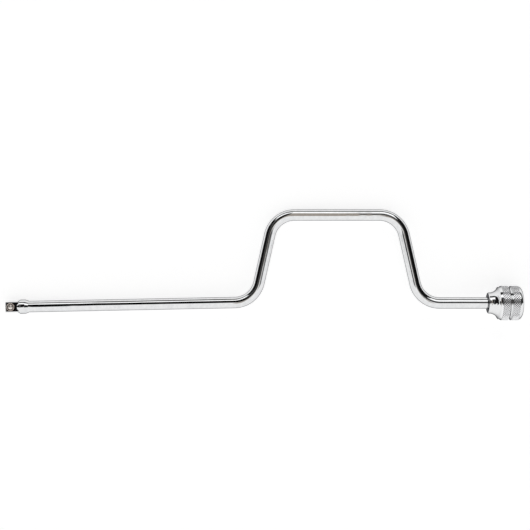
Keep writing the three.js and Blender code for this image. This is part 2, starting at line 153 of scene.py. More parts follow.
# Tool axes: x along the grip to the knob from its neck, y to the crank bar, z on the ball's side
joints = {joint["name"]: joint for joint in frame["joints"]}
tool_x = Vector(joints["knob_spin"]["axis"]).normalized()
tool_z = -Vector(joints["ball_press"]["axis"]).normalized()
tool_y = tool_z.cross(tool_x)
tool_to_world = Matrix((tool_x, tool_y, tool_z)).transposed().to_4x4()
tool_to_world.translation = Vector(joints["knob_spin"]["pos_m"])


class Graph:
    """Node tree with short calls that add and join nodes."""

    def __init__(self, tree):
        self.tree = tree

    def node(self, kind, inputs=None, **settings):
        node = self.tree.nodes.new(kind)
        for name, value in settings.items():
            setattr(node, name, value)
        for key, value in (inputs or {}).items():
            if isinstance(value, bpy.types.NodeSocket):
                self.tree.links.new(value, node.inputs[key])
            else:
                node.inputs[key].default_value = value
        return node

    def math(self, operation, *values):
        return self.node("ShaderNodeMath", dict(enumerate(values)), operation=operation).outputs[0]

    def xyz(self, x, y, z):
        return self.node("ShaderNodeCombineXYZ", {0: x, 1: y, 2: z}).outputs[0]

    def split(self, vector):
        return self.node("ShaderNodeSeparateXYZ", {0: vector}).outputs

    def remap(self, value, low, high, to_low=0.0, to_high=1.0, smooth=False):
        kind = "SMOOTHSTEP" if smooth else "LINEAR"
        inputs = {0: value, 1: low, 2: high, 3: to_low, 4: to_high}
        return self.node("ShaderNodeMapRange", inputs, interpolation_type=kind).outputs[0]

    def mix(self, share, first, second):
        return self.node("ShaderNodeMix", {0: share, 6: first, 7: second}, data_type="RGBA").outputs[2]


def geometry_tree(name, inputs):
    """New geometry tree with named inputs, its graph and its group input's sockets."""
    tree = bpy.data.node_groups.new(name, "GeometryNodeTree")
    tree.interface.new_socket("Geometry", in_out="OUTPUT", socket_type="NodeSocketGeometry")
    for label, kind in inputs.items():
        tree.interface.new_socket(label, in_out="INPUT", socket_type=f"NodeSocket{kind}")
    graph = Graph(tree)
    return tree, graph, graph.node("NodeGroupInput").outputs


def run_tree(tree, source, values):
    """Plain mesh that a geometry tree makes from a source mesh."""
    carrier = bpy.data.objects.new("carrier", source)
    scene.collection.objects.link(carrier)
    modifier = carrier.modifiers.new("shape", "NODES")
    modifier.node_group = tree
    for item in tree.interface.items_tree:
        if item.in_out == "INPUT" and item.name in values:
            modifier[item.identifier] = values[item.name]
    mesh = bpy.data.meshes.new_from_object(carrier.evaluated_get(bpy.context.evaluated_depsgraph_get()))
    carrier.modifiers.remove(modifier)
    bpy.data.objects.remove(carrier)
    return mesh


def softened(outline, radius=SOFT_EDGE):
    """Outline of (x, radius) points with its sharp corners rounded."""
    points = [Vector(point) for point in outline]
    smooth = [points[0]]
    for before, corner, after in zip(points, points[1:], points[2:]):
        back = before - corner
        ahead = after - corner
        turn = math.pi - back.angle(ahead)
        if turn < SHARP_TURN:
            smooth.append(corner)
            continue
        room = SOFT_REACH * min(back.length, ahead.length)
        reach = min(radius * math.tan(turn / 2), room)
        start = corner + back.normalized() * reach
        end = corner + ahead.normalized() * reach
        for step in range(SOFT_STEPS + 1):
            share = step / SOFT_STEPS
            smooth.append(start.lerp(corner, share).lerp(corner.lerp(end, share), share))
    smooth.append(points[-1])
    return smooth


def arc(centre, radius, first, last, steps=ARC_STEPS):
    """Points of an arc in an outline, between two angles in degrees."""
    angles = [math.radians(first + (last - first) * step / steps) for step in range(steps + 1)]
    return [(centre[0] + radius * math.cos(a), centre[1] + radius * math.sin(a)) for a in angles]


def turned(shape, outline, sides):
    """Adds to a bmesh the skin of an outline of (x, radius) points turned about x."""
    rings = []
    for x, radius in outline:
        count = sides if radius > WELD else 1
        angles = [2 * math.pi * side / count for side in range(count)]
        rings.append([shape.verts.new((x, radius * math.cos(a), radius * math.sin(a))) for a in angles])
    for ring, following in zip(rings, rings[1:]):
        for side in range(sides):
            corners = [ring[side % len(ring)], ring[(side + 1) % sides % len(ring)]]
            corners += [following[(side + 1) % sides % len(following)], following[side % len(following)]]
            shape.faces.new(list(dict.fromkeys(corners)))


def mesh_of(shape, name, materials, place=None):
    """Mesh of a bmesh, welded, facing outwards, with its finishes, and set in its place."""
    bmesh.ops.remove_doubles(shape, verts=shape.verts, dist=WELD)
    bmesh.ops.recalc_face_normals(shape, faces=shape.faces)
    mesh = bpy.data.meshes.new(name)
    shape.to_mesh(mesh)
    shape.free()
    for material in materials:
        mesh.materials.append(material)
    if place is not None:
        mesh.transform(place)
    return mesh


def creased(mesh):
    """Smooth shading, broken at the sharp edges."""
    mesh.shade_smooth()
    mesh.set_sharp_from_angle(angle=CREASE_ANGLE)
    return mesh


def place_piece(name, mesh, body, slot, *nodes):
    """Puts a finished mesh in the scene, riding on its body in place of its CAD nodes."""
    piece = bpy.data.objects.new(name, mesh)
    scene.collection.objects.link(piece)
    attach(piece, body)
    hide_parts(*nodes)
    return piece


def combined(mesh, other, operation):
    """Mesh joined with another solid, or with that solid taken out. Its faces keep their own material."""
    blank = bpy.data.objects.new("blank", mesh)
    tool = bpy.data.objects.new("tool", other)
    scene.collection.objects.link(blank)
    scene.collection.objects.link(tool)
    modifier = blank.modifiers.new("combined", "BOOLEAN")
    modifier.operation = operation
    modifier.solver = "EXACT"
    modifier.material_mode = "TRANSFER"
    modifier.object = tool
    result = bpy.data.meshes.new_from_object(blank.evaluated_get(bpy.context.evaluated_depsgraph_get()))
    bpy.data.objects.remove(blank)
    bpy.data.objects.remove(tool)
    return result


# Finishes: colours, noise scales per metre, and bump depths in metres
CHROME_BRIGHT = (0.82, 0.825, 0.83)
CHROME_DULL = (0.74, 0.745, 0.755)
CHROME_ROUGHNESS = 0.06
GRAZING_TINT = (0.03, 0.03, 0.035)
ROD_HAZE_SCALE = 260
DRAW_MARKS_ALONG = 60.0
DRAW_MARKS_AROUND = 26.0
DRAW_MARKS_ROUGHNESS = 0.05
FORGED_WAVE_SCALE = 55
FORGED_WAVE_DEPTH = 0.0002
# Knurled bands painted brighter than the plain plate: a painted highlight
KNURL_PAINTED_HIGHLIGHT = (0.95, 0.952, 0.96)
# Knurl roots painted darker: partly grime, partly painted shade in the grooves
KNURL_ROOT_GRIME_AND_SHADE = (0.26, 0.26, 0.27)
KNURL_ROUGHNESS = 0.12
KNURL_GRIME_AND_SHADE_SCALE = 420
KNOB_HAZE_SCALE = 300
KNOB_GRAIN_SCALE = 900
KNOB_GRAIN_DEPTH = 0.00003
PITS_PER_MOTTLE = 3
PIT_DEPTH = 0.00002


def metal(name, colour, roughness):
    """Metal finish with its graph, its shader node and its Object coordinates."""
    material = bpy.data.materials.new(name)
    material.use_nodes = True
    graph = Graph(material.node_tree)
    shader = material.node_tree.nodes["Principled BSDF"]
    shader.inputs["Base Color"].default_value = (*colour, 1)
    shader.inputs["Metallic"].default_value = 1
    shader.inputs["Roughness"].default_value = roughness
    shader.inputs["Specular Tint"].default_value = (*GRAZING_TINT, 1)
    where = graph.node("ShaderNodeTexCoord").outputs["Object"]
    return material, graph, shader, where


def noise(graph, where, scale, detail=3.0, roughness=0.55):
    """Cloudy value from 0 to 1 at a place."""
    inputs = {"Vector": where, "Scale": scale, "Detail": detail, "Roughness": roughness}
    return graph.node("ShaderNodeTexNoise", inputs).outputs[0]


def feed(graph, value, shader, socket):
    """Joins a value to a socket of the shader."""
    graph.tree.links.new(value, shader.inputs[socket])


def bumped(graph, shader, height, depth):
    """Gives the shader a bump of a height from 0 to 1 and a depth in metres."""
    inputs = {"Height": height, "Distance": depth, "Strength": 1.0}
    feed(graph, graph.node("ShaderNodeBump", inputs).outputs[0], shader, "Normal")


def chrome_plate():
    """Bright plate on the rod: a faint forged wave under it, fine handling marks along the bar."""
    material, graph, shader, where = metal("chrome_plate", CHROME_BRIGHT, CHROME_ROUGHNESS)
    haze = noise(graph, where, ROD_HAZE_SCALE, 4)
    colour = graph.mix(graph.remap(haze, 0.35, 0.7), (*CHROME_BRIGHT, 1), (*CHROME_DULL, 1))
    along = graph.node("ShaderNodeAttribute", attribute_name="along").outputs["Fac"]
    around = graph.node("ShaderNodeAttribute", attribute_name="around").outputs["Vector"]
    spread = {0: around, 3: DRAW_MARKS_AROUND}
    drawn = graph.split(graph.node("ShaderNodeVectorMath", spread, operation="SCALE").outputs[0])
    lengthwise = graph.xyz(graph.math("MULTIPLY", along, DRAW_MARKS_ALONG), drawn[0], drawn[1])
    marks = graph.remap(noise(graph, lengthwise, 1.0, 5, 0.7), 0.62, 0.78)
    hazy = graph.remap(haze, 0.3, 0.75, 0.02, 0.05)
    roughness = graph.math("MULTIPLY_ADD", marks, DRAW_MARKS_ROUGHNESS, hazy)
    feed(graph, colour, shader, "Base Color")
    feed(graph, roughness, shader, "Roughness")
    bumped(graph, shader, noise(graph, where, FORGED_WAVE_SCALE, 1), FORGED_WAVE_DEPTH)
    return material


def knurled_chrome():
    """Plate on the knob: bright on crests and smooth bands, with the knurled bands painted brighter as a
    painted highlight, and dull and darker in the knurl's roots, partly grime and partly painted shade.
    """
    material, graph, shader, where = metal("knurled_chrome", CHROME_BRIGHT, CHROME_ROUGHNESS)
    knurled = graph.node("ShaderNodeAttribute", attribute_name="knurled").outputs["Fac"]
    root = graph.node("ShaderNodeAttribute", attribute_name="knurl_root").outputs["Fac"]
    # Knurl roots painted darker with depth, in patches: partly grime, partly painted shade
    valley = graph.remap(root, 0.35, 1.0, smooth=True)
    cover = graph.remap(noise(graph, where, KNURL_GRIME_AND_SHADE_SCALE, 4), 0.25, 0.7, 0.6, 1.0)
    grime_and_shade = graph.math("MULTIPLY", valley, cover)
    # Knurled faces painted brighter than the plain plate, as a painted highlight
    plate = graph.mix(knurled, (*CHROME_BRIGHT, 1), (*KNURL_PAINTED_HIGHLIGHT, 1))
    colour = graph.mix(grime_and_shade, plate, (*KNURL_ROOT_GRIME_AND_SHADE, 1))
    haze = graph.remap(noise(graph, where, KNOB_HAZE_SCALE, 4), 0.3, 0.75, 0.05, 0.11)
    feed(graph, colour, shader, "Base Color")
    feed(graph, graph.math("MULTIPLY_ADD", knurled, KNURL_ROUGHNESS, haze), shader, "Roughness")
    bumped(graph, shader, noise(graph, where, KNOB_GRAIN_SCALE, 3), KNOB_GRAIN_DEPTH)
    return material


def worn_steel(name, light, dark, scale, roughness):
    """Bare steel or bronze with fine pits and a mottled tone."""
    material, graph, shader, where = metal(name, light, roughness)
    mottle = noise(graph, where, scale, 5, 0.65)
    feed(graph, graph.mix(graph.remap(mottle, 0.35, 0.72), (*light, 1), (*dark, 1)), shader, "Base Color")
    feed(graph, graph.remap(mottle, 0.3, 0.75, roughness * 0.75, roughness * 1.3), shader, "Roughness")
    pitting = {"Vector": where, "Scale": scale * PITS_PER_MOTTLE}
    pits = graph.node("ShaderNodeTexVoronoi", pitting).outputs["Distance"]
    bumped(graph, shader, graph.remap(pits, 0.0, 0.25), PIT_DEPTH)
    return material


chrome = chrome_plate()
knurled = knurled_chrome()
peened_steel = worn_steel("peened_steel", (0.9, 0.82, 0.76), (0.7, 0.63, 0.58), 1500, 0.55)
ball_steel = worn_steel("ball_steel", (0.86, 0.8, 0.75), (0.7, 0.64, 0.59), 700, 0.3)
plain_steel = worn_steel("plain_steel", (0.6, 0.61, 0.63), (0.42, 0.42, 0.43), 800, 0.35)
bronze = worn_steel("oiled_bronze", (0.69, 0.54, 0.33), (0.42, 0.29, 0.15), 1200, 0.42)


# Rod
def at(x, y):
    """Point in the crank's plane."""
    return Vector((x, y, 0))


leg_run = math.tan(LEG_LEAN)
grip_corner = at(-GRIP_SHANK, 0)
bar_grip_corner = at(grip_corner.x - CRANK_THROW * leg_run, CRANK_THROW)
bar_drive_corner = at(bar_grip_corner.x - CRANK_BAR, CRANK_THROW)
drive_corner = at(bar_drive_corner.x - (CRANK_THROW - DRIVE_CORNER_RISE) * leg_run, DRIVE_CORNER_RISE)
shank_outward = -at(math.cos(DRIVE_SHANK_SET), math.sin(DRIVE_SHANK_SET))
collar_heel = drive_corner + shank_outward * DRIVE_SHANK
collar_span = COLLAR_BEVEL_TO_SHANK + COLLAR_LENGTH + COLLAR_BEVEL_TO_SQUARE
drive_to_tool = Matrix.Translation(collar_heel) @ Matrix.Rotation(DRIVE_SHANK_SET, 4, "Z")


def rod_line():
    """Rod's centreline through its corners, with the turned radius and the bend radius at each point."""
    collar = softened([
        (-collar_span, COLLAR_NOSE_RADIUS),
        (COLLAR_BEVEL_TO_SQUARE - collar_span, COLLAR_RADIUS),
        (-COLLAR_BEVEL_TO_SHANK, COLLAR_RADIUS),
        (0, ROD_RADIUS),
        (COLLAR_LENGTH, ROD_RADIUS),
    ])
    groove_end = RING_GROOVE_START + RING_GROOVE_WIDTH
    journal = softened([
        (0, ROD_RADIUS),
        (SHOULDER_DEPTH, ROD_RADIUS),
        (SHOULDER_DEPTH + STEP_RUN, JOURNAL_RADIUS),
        (RING_GROOVE_START, JOURNAL_RADIUS),
        (RING_GROOVE_START + STEP_RUN, JOURNAL_RADIUS - RING_GROOVE_DEPTH),
        (groove_end - STEP_RUN, JOURNAL_RADIUS - RING_GROOVE_DEPTH),
        (groove_end, JOURNAL_RADIUS),
        (JOURNAL_END - JOURNAL_END_BEVEL, JOURNAL_RADIUS),
        (JOURNAL_END, JOURNAL_RADIUS - JOURNAL_END_BEVEL),
    ], STEP_RUN)
    corners = [drive_corner, bar_drive_corner, bar_grip_corner, grip_corner]
    points = [drive_to_tool @ at(x, 0) for x, _ in collar] + corners + [at(x, 0) for x, _ in journal]
    radii = [r for _, r in collar] + [ROD_RADIUS] * len(corners) + [r for _, r in journal]
    bends = [0] * len(collar) + [BEND_RADIUS] * len(corners) + [0] * len(journal)
    mesh = bpy.data.meshes.new("rod_line")
    mesh.from_pydata(points, [(i, i + 1) for i in range(len(points) - 1)], [])
    mesh.attributes.new("turned_radius", "FLOAT", "POINT").data.foreach_set("value", radii)
    mesh.attributes.new("bend_radius", "FLOAT", "POINT").data.foreach_set("value", bends)
    return mesh


def bent_bar_tree():
    """Sweeps a round section along a line, bent round its corners."""
    inputs = {"Geometry": "Geometry", "Bend Steps": "Int", "Sides": "Int", "Material": "Material"}
    tree, graph, given = geometry_tree("bent_bar", inputs)

    def named(label):
        return graph.node("GeometryNodeInputNamedAttribute", {"Name": label}).outputs["Attribute"]

    def stored(geometry, label, value, kind):
        inputs = {"Geometry": geometry, "Name": label, "Value": value}
        return graph.node("GeometryNodeStoreNamedAttribute", inputs, data_type=kind).outputs[0]

    line = graph.node("GeometryNodeMeshToCurve", {"Mesh": given["Geometry"]}).outputs[0]
    bends = {"Curve": line, "Count": given["Bend Steps"], "Radius": named("bend_radius")}
    bent = graph.node("GeometryNodeFilletCurve", bends, mode="POLY").outputs[0]
    length = graph.node("GeometryNodeSplineParameter").outputs["Length"]
    bent = stored(bent, "along", length, "FLOAT")
    circle = graph.node("GeometryNodeCurvePrimitiveCircle", {"Resolution": given["Sides"], "Radius": 1.0})
    position = graph.node("GeometryNodeInputPosition").outputs[0]
    section = stored(circle.outputs["Curve"], "around", position, "FLOAT_VECTOR")
    sweep = {"Curve": bent, "Profile Curve": section, "Scale": named("turned_radius"), "Fill Caps": False}
    bar = graph.node("GeometryNodeCurveToMesh", sweep).outputs[0]
    whole = graph.node("GeometryNodeRealizeInstances", {"Geometry": bar}).outputs[0]
    finished = graph.node("GeometryNodeSetMaterial", {"Geometry": whole, "Material": given["Material"]})
    graph.node("NodeGroupOutput", {"Geometry": finished.outputs[0]})
    return tree


def square_section(half, radius):
    """Points of a square section with rounded corners, and one on each flat close to each corner."""
    points = []
    for side in range(4):
        turn = Matrix.Rotation(math.pi / 2 * side, 2)
        corner = arc((half - radius, half - radius), radius, 0, 90, EDGE_STEPS)
        flat = half - radius - GUARD_RUN
        points += [turn @ Vector(point) for point in [(half, flat), *corner, (flat, half)]]
    return points


def drive_square():
    """Solid of the square, from inside the collar to its drawn-in end."""
    tip = -collar_span - SQUARE_LENGTH
    sections = [
        (-COLLAR_BEVEL_TO_SHANK, SQUARE_HALF, SQUARE_EDGE_RADIUS),
        (tip + SQUARE_END_BEVEL + GUARD_RUN, SQUARE_HALF, SQUARE_EDGE_RADIUS),
    ]
    for step in range(ARC_STEPS + 1):
        angle = math.pi / 2 * step / ARC_STEPS
        share = 1 - math.cos(angle)
        x = tip + SQUARE_END_BEVEL * (1 - math.sin(angle))
        radius = SQUARE_EDGE_RADIUS + (SQUARE_TIP_EDGE_RADIUS - SQUARE_EDGE_RADIUS) * share
        sections.append((x, SQUARE_HALF - SQUARE_END_DRAW_IN * share, radius))
    end_half = SQUARE_HALF - SQUARE_END_DRAW_IN - GUARD_RUN
    sections.append((tip, end_half, SQUARE_TIP_EDGE_RADIUS))
    shape = bmesh.new()
    rings = []
    for x, half, radius in sections:
        rings.append([shape.verts.new((x, *point)) for point in square_section(half, radius)])
    for ring, following in zip(rings, rings[1:]):
        for i, corner in enumerate(ring):
            shape.faces.new((corner, following[i], following[i - 1], ring[i - 1]))
    shape.faces.new(rings[0])
    shape.faces.new(rings[-1])
    return mesh_of(shape, "drive_square", [chrome], drive_to_tool)


def swept_bar():
    """Bent bar with its collar and its journal, closed at both ends."""
    sizes = {"Bend Steps": BEND_STEPS, "Sides": ROD_SIDES, "Material": chrome}
    shape = bmesh.new()
    shape.from_mesh(run_tree(bent_bar_tree(), rod_line(), sizes))
    bmesh.ops.holes_fill(shape, edges=shape.edges)
    return mesh_of(shape, "swept_bar", [chrome])


# Ball detent: its hole stands along z in the square
ball_along = BALL_FROM_END - collar_span - SQUARE_LENGTH
ball_height = SQUARE_HALF + BALL_PROUD - BALL_RADIUS
upright = Matrix.Rotation(-math.pi / 2, 4, "Y")
detent_to_tool = drive_to_tool @ Matrix.Translation((ball_along, 0, 0)) @ upright


def detent_hole():
    """Solid of the hole for ball and spring, its mouth peened in."""
    ball_at_flat = math.sqrt(BALL_RADIUS**2 - (SQUARE_HALF - ball_height)**2)
    mouth = ball_at_flat + BALL_CLEARANCE
    bore = BALL_RADIUS + BALL_CLEARANCE
    above = SQUARE_HALF + HOLE_LIP_HEIGHT
    shape = bmesh.new()
    turned(shape, [
        (HOLE_FLOOR - SQUARE_HALF, 0),
        (HOLE_FLOOR - SQUARE_HALF, bore),
        (SQUARE_HALF - HOLE_LIP_HEIGHT, bore),
        (above, 2 * mouth - bore),
        (above, 0),
    ], SMALL_SIDES)
    return mesh_of(shape, "detent_hole", [peened_steel], detent_to_tool)


def stake_ring():
    """Solid of the round-bottomed groove that the peening tool leaves."""
    half = STAKE_RING_WIDTH / 2
    above = SQUARE_HALF + STAKE_RING_DEPTH
    outline = [(above, STAKE_RING_RADIUS - half)]
    for step in range(1, ARC_STEPS):
        angle = math.pi * step / ARC_STEPS
        outline.append((
            SQUARE_HALF - STAKE_RING_DEPTH * math.sin(angle),
            STAKE_RING_RADIUS - half * math.cos(angle),
        ))
    outline += [(above, STAKE_RING_RADIUS + half), outline[0]]
    shape = bmesh.new()
    turned(shape, outline, SMALL_SIDES)
    return mesh_of(shape, "stake_ring", [peened_steel], detent_to_tool)


def bent_rod():
    """Bar and square in one, with the ball's hole and the peened ring cut in."""
    mesh = combined(swept_bar(), drive_square(), "UNION")
    mesh = combined(mesh, detent_hole(), "DIFFERENCE")
    mesh = combined(mesh, stake_ring(), "DIFFERENCE")
    shape = bmesh.new()
    shape.from_mesh(mesh)
    bmesh.ops.dissolve_degenerate(shape, dist=WELD, edges=shape.edges)
    mesh = mesh_of(shape, "bent_rod", list(mesh.materials), tool_to_world)
    place_piece("bent_rod", creased(mesh), "crank", "chrome", "crank_rod")


def snap_ball():
    """Ball in the square's side."""
    shape = bmesh.new()
    sides = {"u_segments": SMALL_SIDES, "v_segments": SMALL_SIDES // 2}
    bmesh.ops.create_uvsphere(shape, radius=BALL_RADIUS, **sides)
    place = tool_to_world @ drive_to_tool @ Matrix.Translation((ball_along, 0, ball_height))
    mesh = mesh_of(shape, "snap_ball", [ball_steel], place)
    place_piece("snap_ball", creased(mesh), "ball", "ball_steel", "detent_ball")


def wound_wire_tree():
    """Round wire wound into a coil that rises along z."""
    inputs = {"Turns": "Float", "Steps": "Int", "Coil Radius": "Float", "Height": "Float"}
    inputs |= {"Wire Radius": "Float", "Sides": "Int", "Material": "Material"}
    tree, graph, given = geometry_tree("wound_wire", inputs)
    helix = graph.node("GeometryNodeCurveSpiral", {
        "Resolution": given["Steps"],
        "Rotations": given["Turns"],
        "Start Radius": given["Coil Radius"],
        "End Radius": given["Coil Radius"],
        "Height": given["Height"],
        "Reverse": True,
    })
    wire = {"Resolution": given["Sides"], "Radius": given["Wire Radius"]}
    section = graph.node("GeometryNodeCurvePrimitiveCircle", wire).outputs["Curve"]
    sweep = {"Curve": helix.outputs[0], "Profile Curve": section, "Fill Caps": True}
    coil = graph.node("GeometryNodeCurveToMesh", sweep).outputs[0]
    whole = graph.node("GeometryNodeRealizeInstances", {"Geometry": coil}).outputs[0]
    finished = graph.node("GeometryNodeSetMaterial", {"Geometry": whole, "Material": given["Material"]})
    graph.node("NodeGroupOutput", {"Geometry": finished.outputs[0]})
    return tree


def snap_spring():
    """Coil under the ball, from the hole's floor."""
    floor = HOLE_FLOOR - SQUARE_HALF
    reach = BALL_RADIUS + SPRING_GAP + SPRING_WIRE_RADIUS
    bottom = floor + SPRING_GAP + SPRING_WIRE_RADIUS
    top = ball_height - math.sqrt(reach**2 - SPRING_COIL_RADIUS**2)
    coil = run_tree(wound_wire_tree(), bpy.data.meshes.new("coil"), {
        "Turns": (top - bottom) / SPRING_PITCH,
        "Steps": COIL_STEPS,
        "Coil Radius": SPRING_COIL_RADIUS,
        "Height": top - bottom,
        "Wire Radius": SPRING_WIRE_RADIUS,
        "Sides": WIRE_SIDES,
        "Material": plain_steel,
    })
    shape = bmesh.new()
    shape.from_mesh(coil)
    place = tool_to_world @ drive_to_tool @ Matrix.Translation((ball_along, 0, bottom))
    mesh = mesh_of(shape, "snap_spring", [plain_steel], place)
    spring = place_piece("snap_spring", creased(mesh), "crank", "plain_steel", "detent_spring")
    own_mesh(spring)


# Knob
knurl_root_radius = KNURL_CREST_RADIUS - KNURL_DEPTH
flare_rise = FLARE_RIM_RADIUS - NECK_RADIUS
flare_sweep = math.degrees(math.acos(1 - flare_rise / FLARE_RADIUS))
rim_start = NECK_STRAIGHT + FLARE_RADIUS * math.sin(math.radians(flare_sweep))
front_band = rim_start + RIM_LAND + RIM_BEVEL
rear_band = front_band + KNURL_BAND + GROOVE_WIDTH
palm_edge = rear_band + KNURL_BAND
palm_rim_radius = knurl_root_radius - PALM_EDGE_RADIUS
palm_sphere = (palm_rim_radius**2 + PALM_CROWN**2) / (2 * PALM_CROWN)
crown_centre = palm_edge + PALM_EDGE_RADIUS + PALM_CROWN - palm_sphere


def palm_at(radius):
    """Height of the palm's shallow crown along x, at a radius."""
    return crown_centre + math.sqrt(palm_sphere**2 - radius**2)


def knob_outline():
    """Smooth skin of the knob from the rear band over the palm, through the bore, to the front band."""
    seat = CAP_RADIUS + CAP_SEAT_GAP
    outline = arc((palm_edge, palm_rim_radius), PALM_EDGE_RADIUS, 90, 0)
    outline += [
        (palm_at(seat), seat),
        (CHAMBER_END, seat),
        (CHAMBER_END, CHAMBER_RADIUS),
        (WEB_END, CHAMBER_RADIUS),
        (WEB_END, WEB_BORE),
        (WEB_START, WEB_BORE),
        (WEB_START, NECK_BORE),
        (0, NECK_BORE),
    ]
    outline += arc((NECK_EDGE_RADIUS, NECK_RADIUS - NECK_EDGE_RADIUS), NECK_EDGE_RADIUS, 180, 90)
    outline += arc((NECK_STRAIGHT, NECK_RADIUS + FLARE_RADIUS), FLARE_RADIUS, -90, flare_sweep - 90)
    outline += [(rim_start + RIM_LAND, FLARE_RIM_RADIUS), (front_band, knurl_root_radius)]
    return softened(outline)


def groove_outline():
    """Hollow between the two bands."""
    start = front_band + KNURL_BAND
    outline = []
    for step in range(ARC_STEPS + 1):
        share = step / ARC_STEPS
        depth = 4 * GROOVE_DEPTH * share * (1 - share)
        outline.append((start + GROOVE_WIDTH * share, knurl_root_radius - depth))
    return outline


def diamond_band_tree():
    """One knurled band about x: four-sided teeth in staggered rows, trimmed at both edges."""
    inputs = {"Start": "Float", "Length": "Float", "Root Radius": "Float", "Tooth Height": "Float"}
    inputs |= {"Teeth": "Int", "Rows": "Int", "Tip Share": "Float", "Edge Chamfer": "Float"}
    tree, graph, given = geometry_tree("diamond_band", inputs)
    calc = graph.math
    root = given["Root Radius"]
    height = given["Tooth Height"]
    row_pitch = calc("DIVIDE", given["Length"], given["Rows"])
    pitch = calc("DIVIDE", calc("MULTIPLY", root, 2 * math.pi), given["Teeth"])

    index = graph.node("GeometryNodeInputIndex").outputs[0]
    row = calc("FLOOR", calc("DIVIDE", calc("ADD", index, 0.5), given["Teeth"]))
    column = calc("SUBTRACT", index, calc("MULTIPLY", row, given["Teeth"]))
    stagger = calc("MULTIPLY", calc("MODULO", row, 2.0), 0.5)
    across = calc("MULTIPLY", calc("ADD", column, stagger), pitch)
    spot = graph.xyz(calc("MULTIPLY", row, row_pitch), across, 0.0)
    count = calc("MULTIPLY", given["Teeth"], calc("ADD", given["Rows"], 1.0))
    spots = graph.node("GeometryNodePoints", {"Count": count, "Position": spot}).outputs[0]

    cone = graph.node("GeometryNodeMeshCone", {
        "Vertices": 4,
        "Side Segments": TOOTH_STEPS,
        "Radius Top": given["Tip Share"],
        "Radius Bottom": 1.0,
        "Depth": height,
    })
    open_cone = graph.node(
        "GeometryNodeDeleteGeometry",
        {"Geometry": cone.outputs["Mesh"], "Selection": cone.outputs["Bottom"]},
        domain="FACE",
    ).outputs[0]
    base = graph.xyz(row_pitch, calc("MULTIPLY", pitch, 0.5), 1.0)
    tooth = graph.node("GeometryNodeTransform", {"Geometry": open_cone, "Scale": base}).outputs[0]
    teeth = graph.node("GeometryNodeInstanceOnPoints", {"Points": spots, "Instance": tooth}).outputs[0]
    flat = graph.node("GeometryNodeRealizeInstances", {"Geometry": teeth}).outputs[0]

    x, y, z = graph.split(graph.node("GeometryNodeInputPosition").outputs[0])
    depth_share = calc("SUBTRACT", 1.0, calc("DIVIDE", z, height))
    marked = flat
    for label, value in (("knurled", 1.0), ("knurl_root", depth_share)):
        marks = {"Geometry": marked, "Name": label, "Value": value}
        marked = graph.node("GeometryNodeStoreNamedAttribute", marks).outputs[0]
    trim = calc("MULTIPLY", z, given["Edge Chamfer"])
    trimmed = calc("MINIMUM", calc("MAXIMUM", x, trim), calc("SUBTRACT", given["Length"], trim))
    angle = calc("DIVIDE", y, root)
    radius = calc("ADD", root, z)
    wrapped = graph.xyz(
        calc("ADD", given["Start"], trimmed),
        calc("MULTIPLY", radius, calc("COSINE", angle)),
        calc("MULTIPLY", radius, calc("SINE", angle)),
    )
    band = graph.node("GeometryNodeSetPosition", {"Geometry": marked, "Position": wrapped}).outputs[0]
    graph.node("NodeGroupOutput", {"Geometry": band})
    return tree


def knurled_knob_tree(band_tree):
    """Joins the smooth skin of the knob and its two knurled bands into one closed skin."""
    inputs = {"Geometry": "Geometry", "Front Band": "Float", "Rear Band": "Float", "Band Length": "Float"}
    inputs |= {"Root Radius": "Float", "Tooth Height": "Float", "Teeth": "Int", "Rows": "Int"}
    inputs |= {"Tip Share": "Float", "Edge Chamfer": "Float", "Weld": "Float", "Material": "Material"}
    tree, graph, given = geometry_tree("knurled_knob", inputs)
    shared = ("Root Radius", "Tooth Height", "Teeth", "Rows", "Tip Share", "Edge Chamfer")
    join = graph.node("GeometryNodeJoinGeometry", {"Geometry": given["Geometry"]})
    for start in ("Front Band", "Rear Band"):
        band = graph.node("GeometryNodeGroup", node_tree=band_tree)
        sources = {label: label for label in shared} | {"Start": start, "Length": "Band Length"}
        for label, source in sources.items():
            tree.links.new(given[source], band.inputs[label])
        tree.links.new(band.outputs[0], join.inputs[0])
    welded = {"Geometry": join.outputs[0], "Distance": given["Weld"]}
    closed = graph.node("GeometryNodeMergeByDistance", welded).outputs[0]
    whole = graph.node("GeometryNodeRealizeInstances", {"Geometry": closed}).outputs[0]
    finished = graph.node("GeometryNodeSetMaterial", {"Geometry": whole, "Material": given["Material"]})
    graph.node("NodeGroupOutput", {"Geometry": finished.outputs[0]})
    return tree


def spinning_knob():
    """Turned knob with its two knurled bands, hollow for the journal and its bushes."""
    shape = bmesh.new()
    turned(shape, knob_outline(), 2 * KNURL_TEETH)
    turned(shape, groove_outline(), 2 * KNURL_TEETH)
    smooth_skin = mesh_of(shape, "knob_skin", [])
    mesh = run_tree(knurled_knob_tree(diamond_band_tree()), smooth_skin, {
        "Front Band": front_band,
        "Rear Band": rear_band,
        "Band Length": KNURL_BAND,
        "Root Radius": knurl_root_radius,
        "Tooth Height": KNURL_DEPTH,
        "Teeth": KNURL_TEETH,
        "Rows": KNURL_ROWS,
        "Tip Share": KNURL_TIP_SHARE,
        "Edge Chamfer": KNURL_EDGE_CHAMFER,
        "Weld": WELD,
        "Material": knurled,
    })
    shape = bmesh.new()
    shape.from_mesh(mesh)
    mesh = mesh_of(shape, "spinning_knob", [knurled], tool_to_world)
    place_piece("spinning_knob", creased(mesh), "knob", "knurled_chrome", "grip_knob")


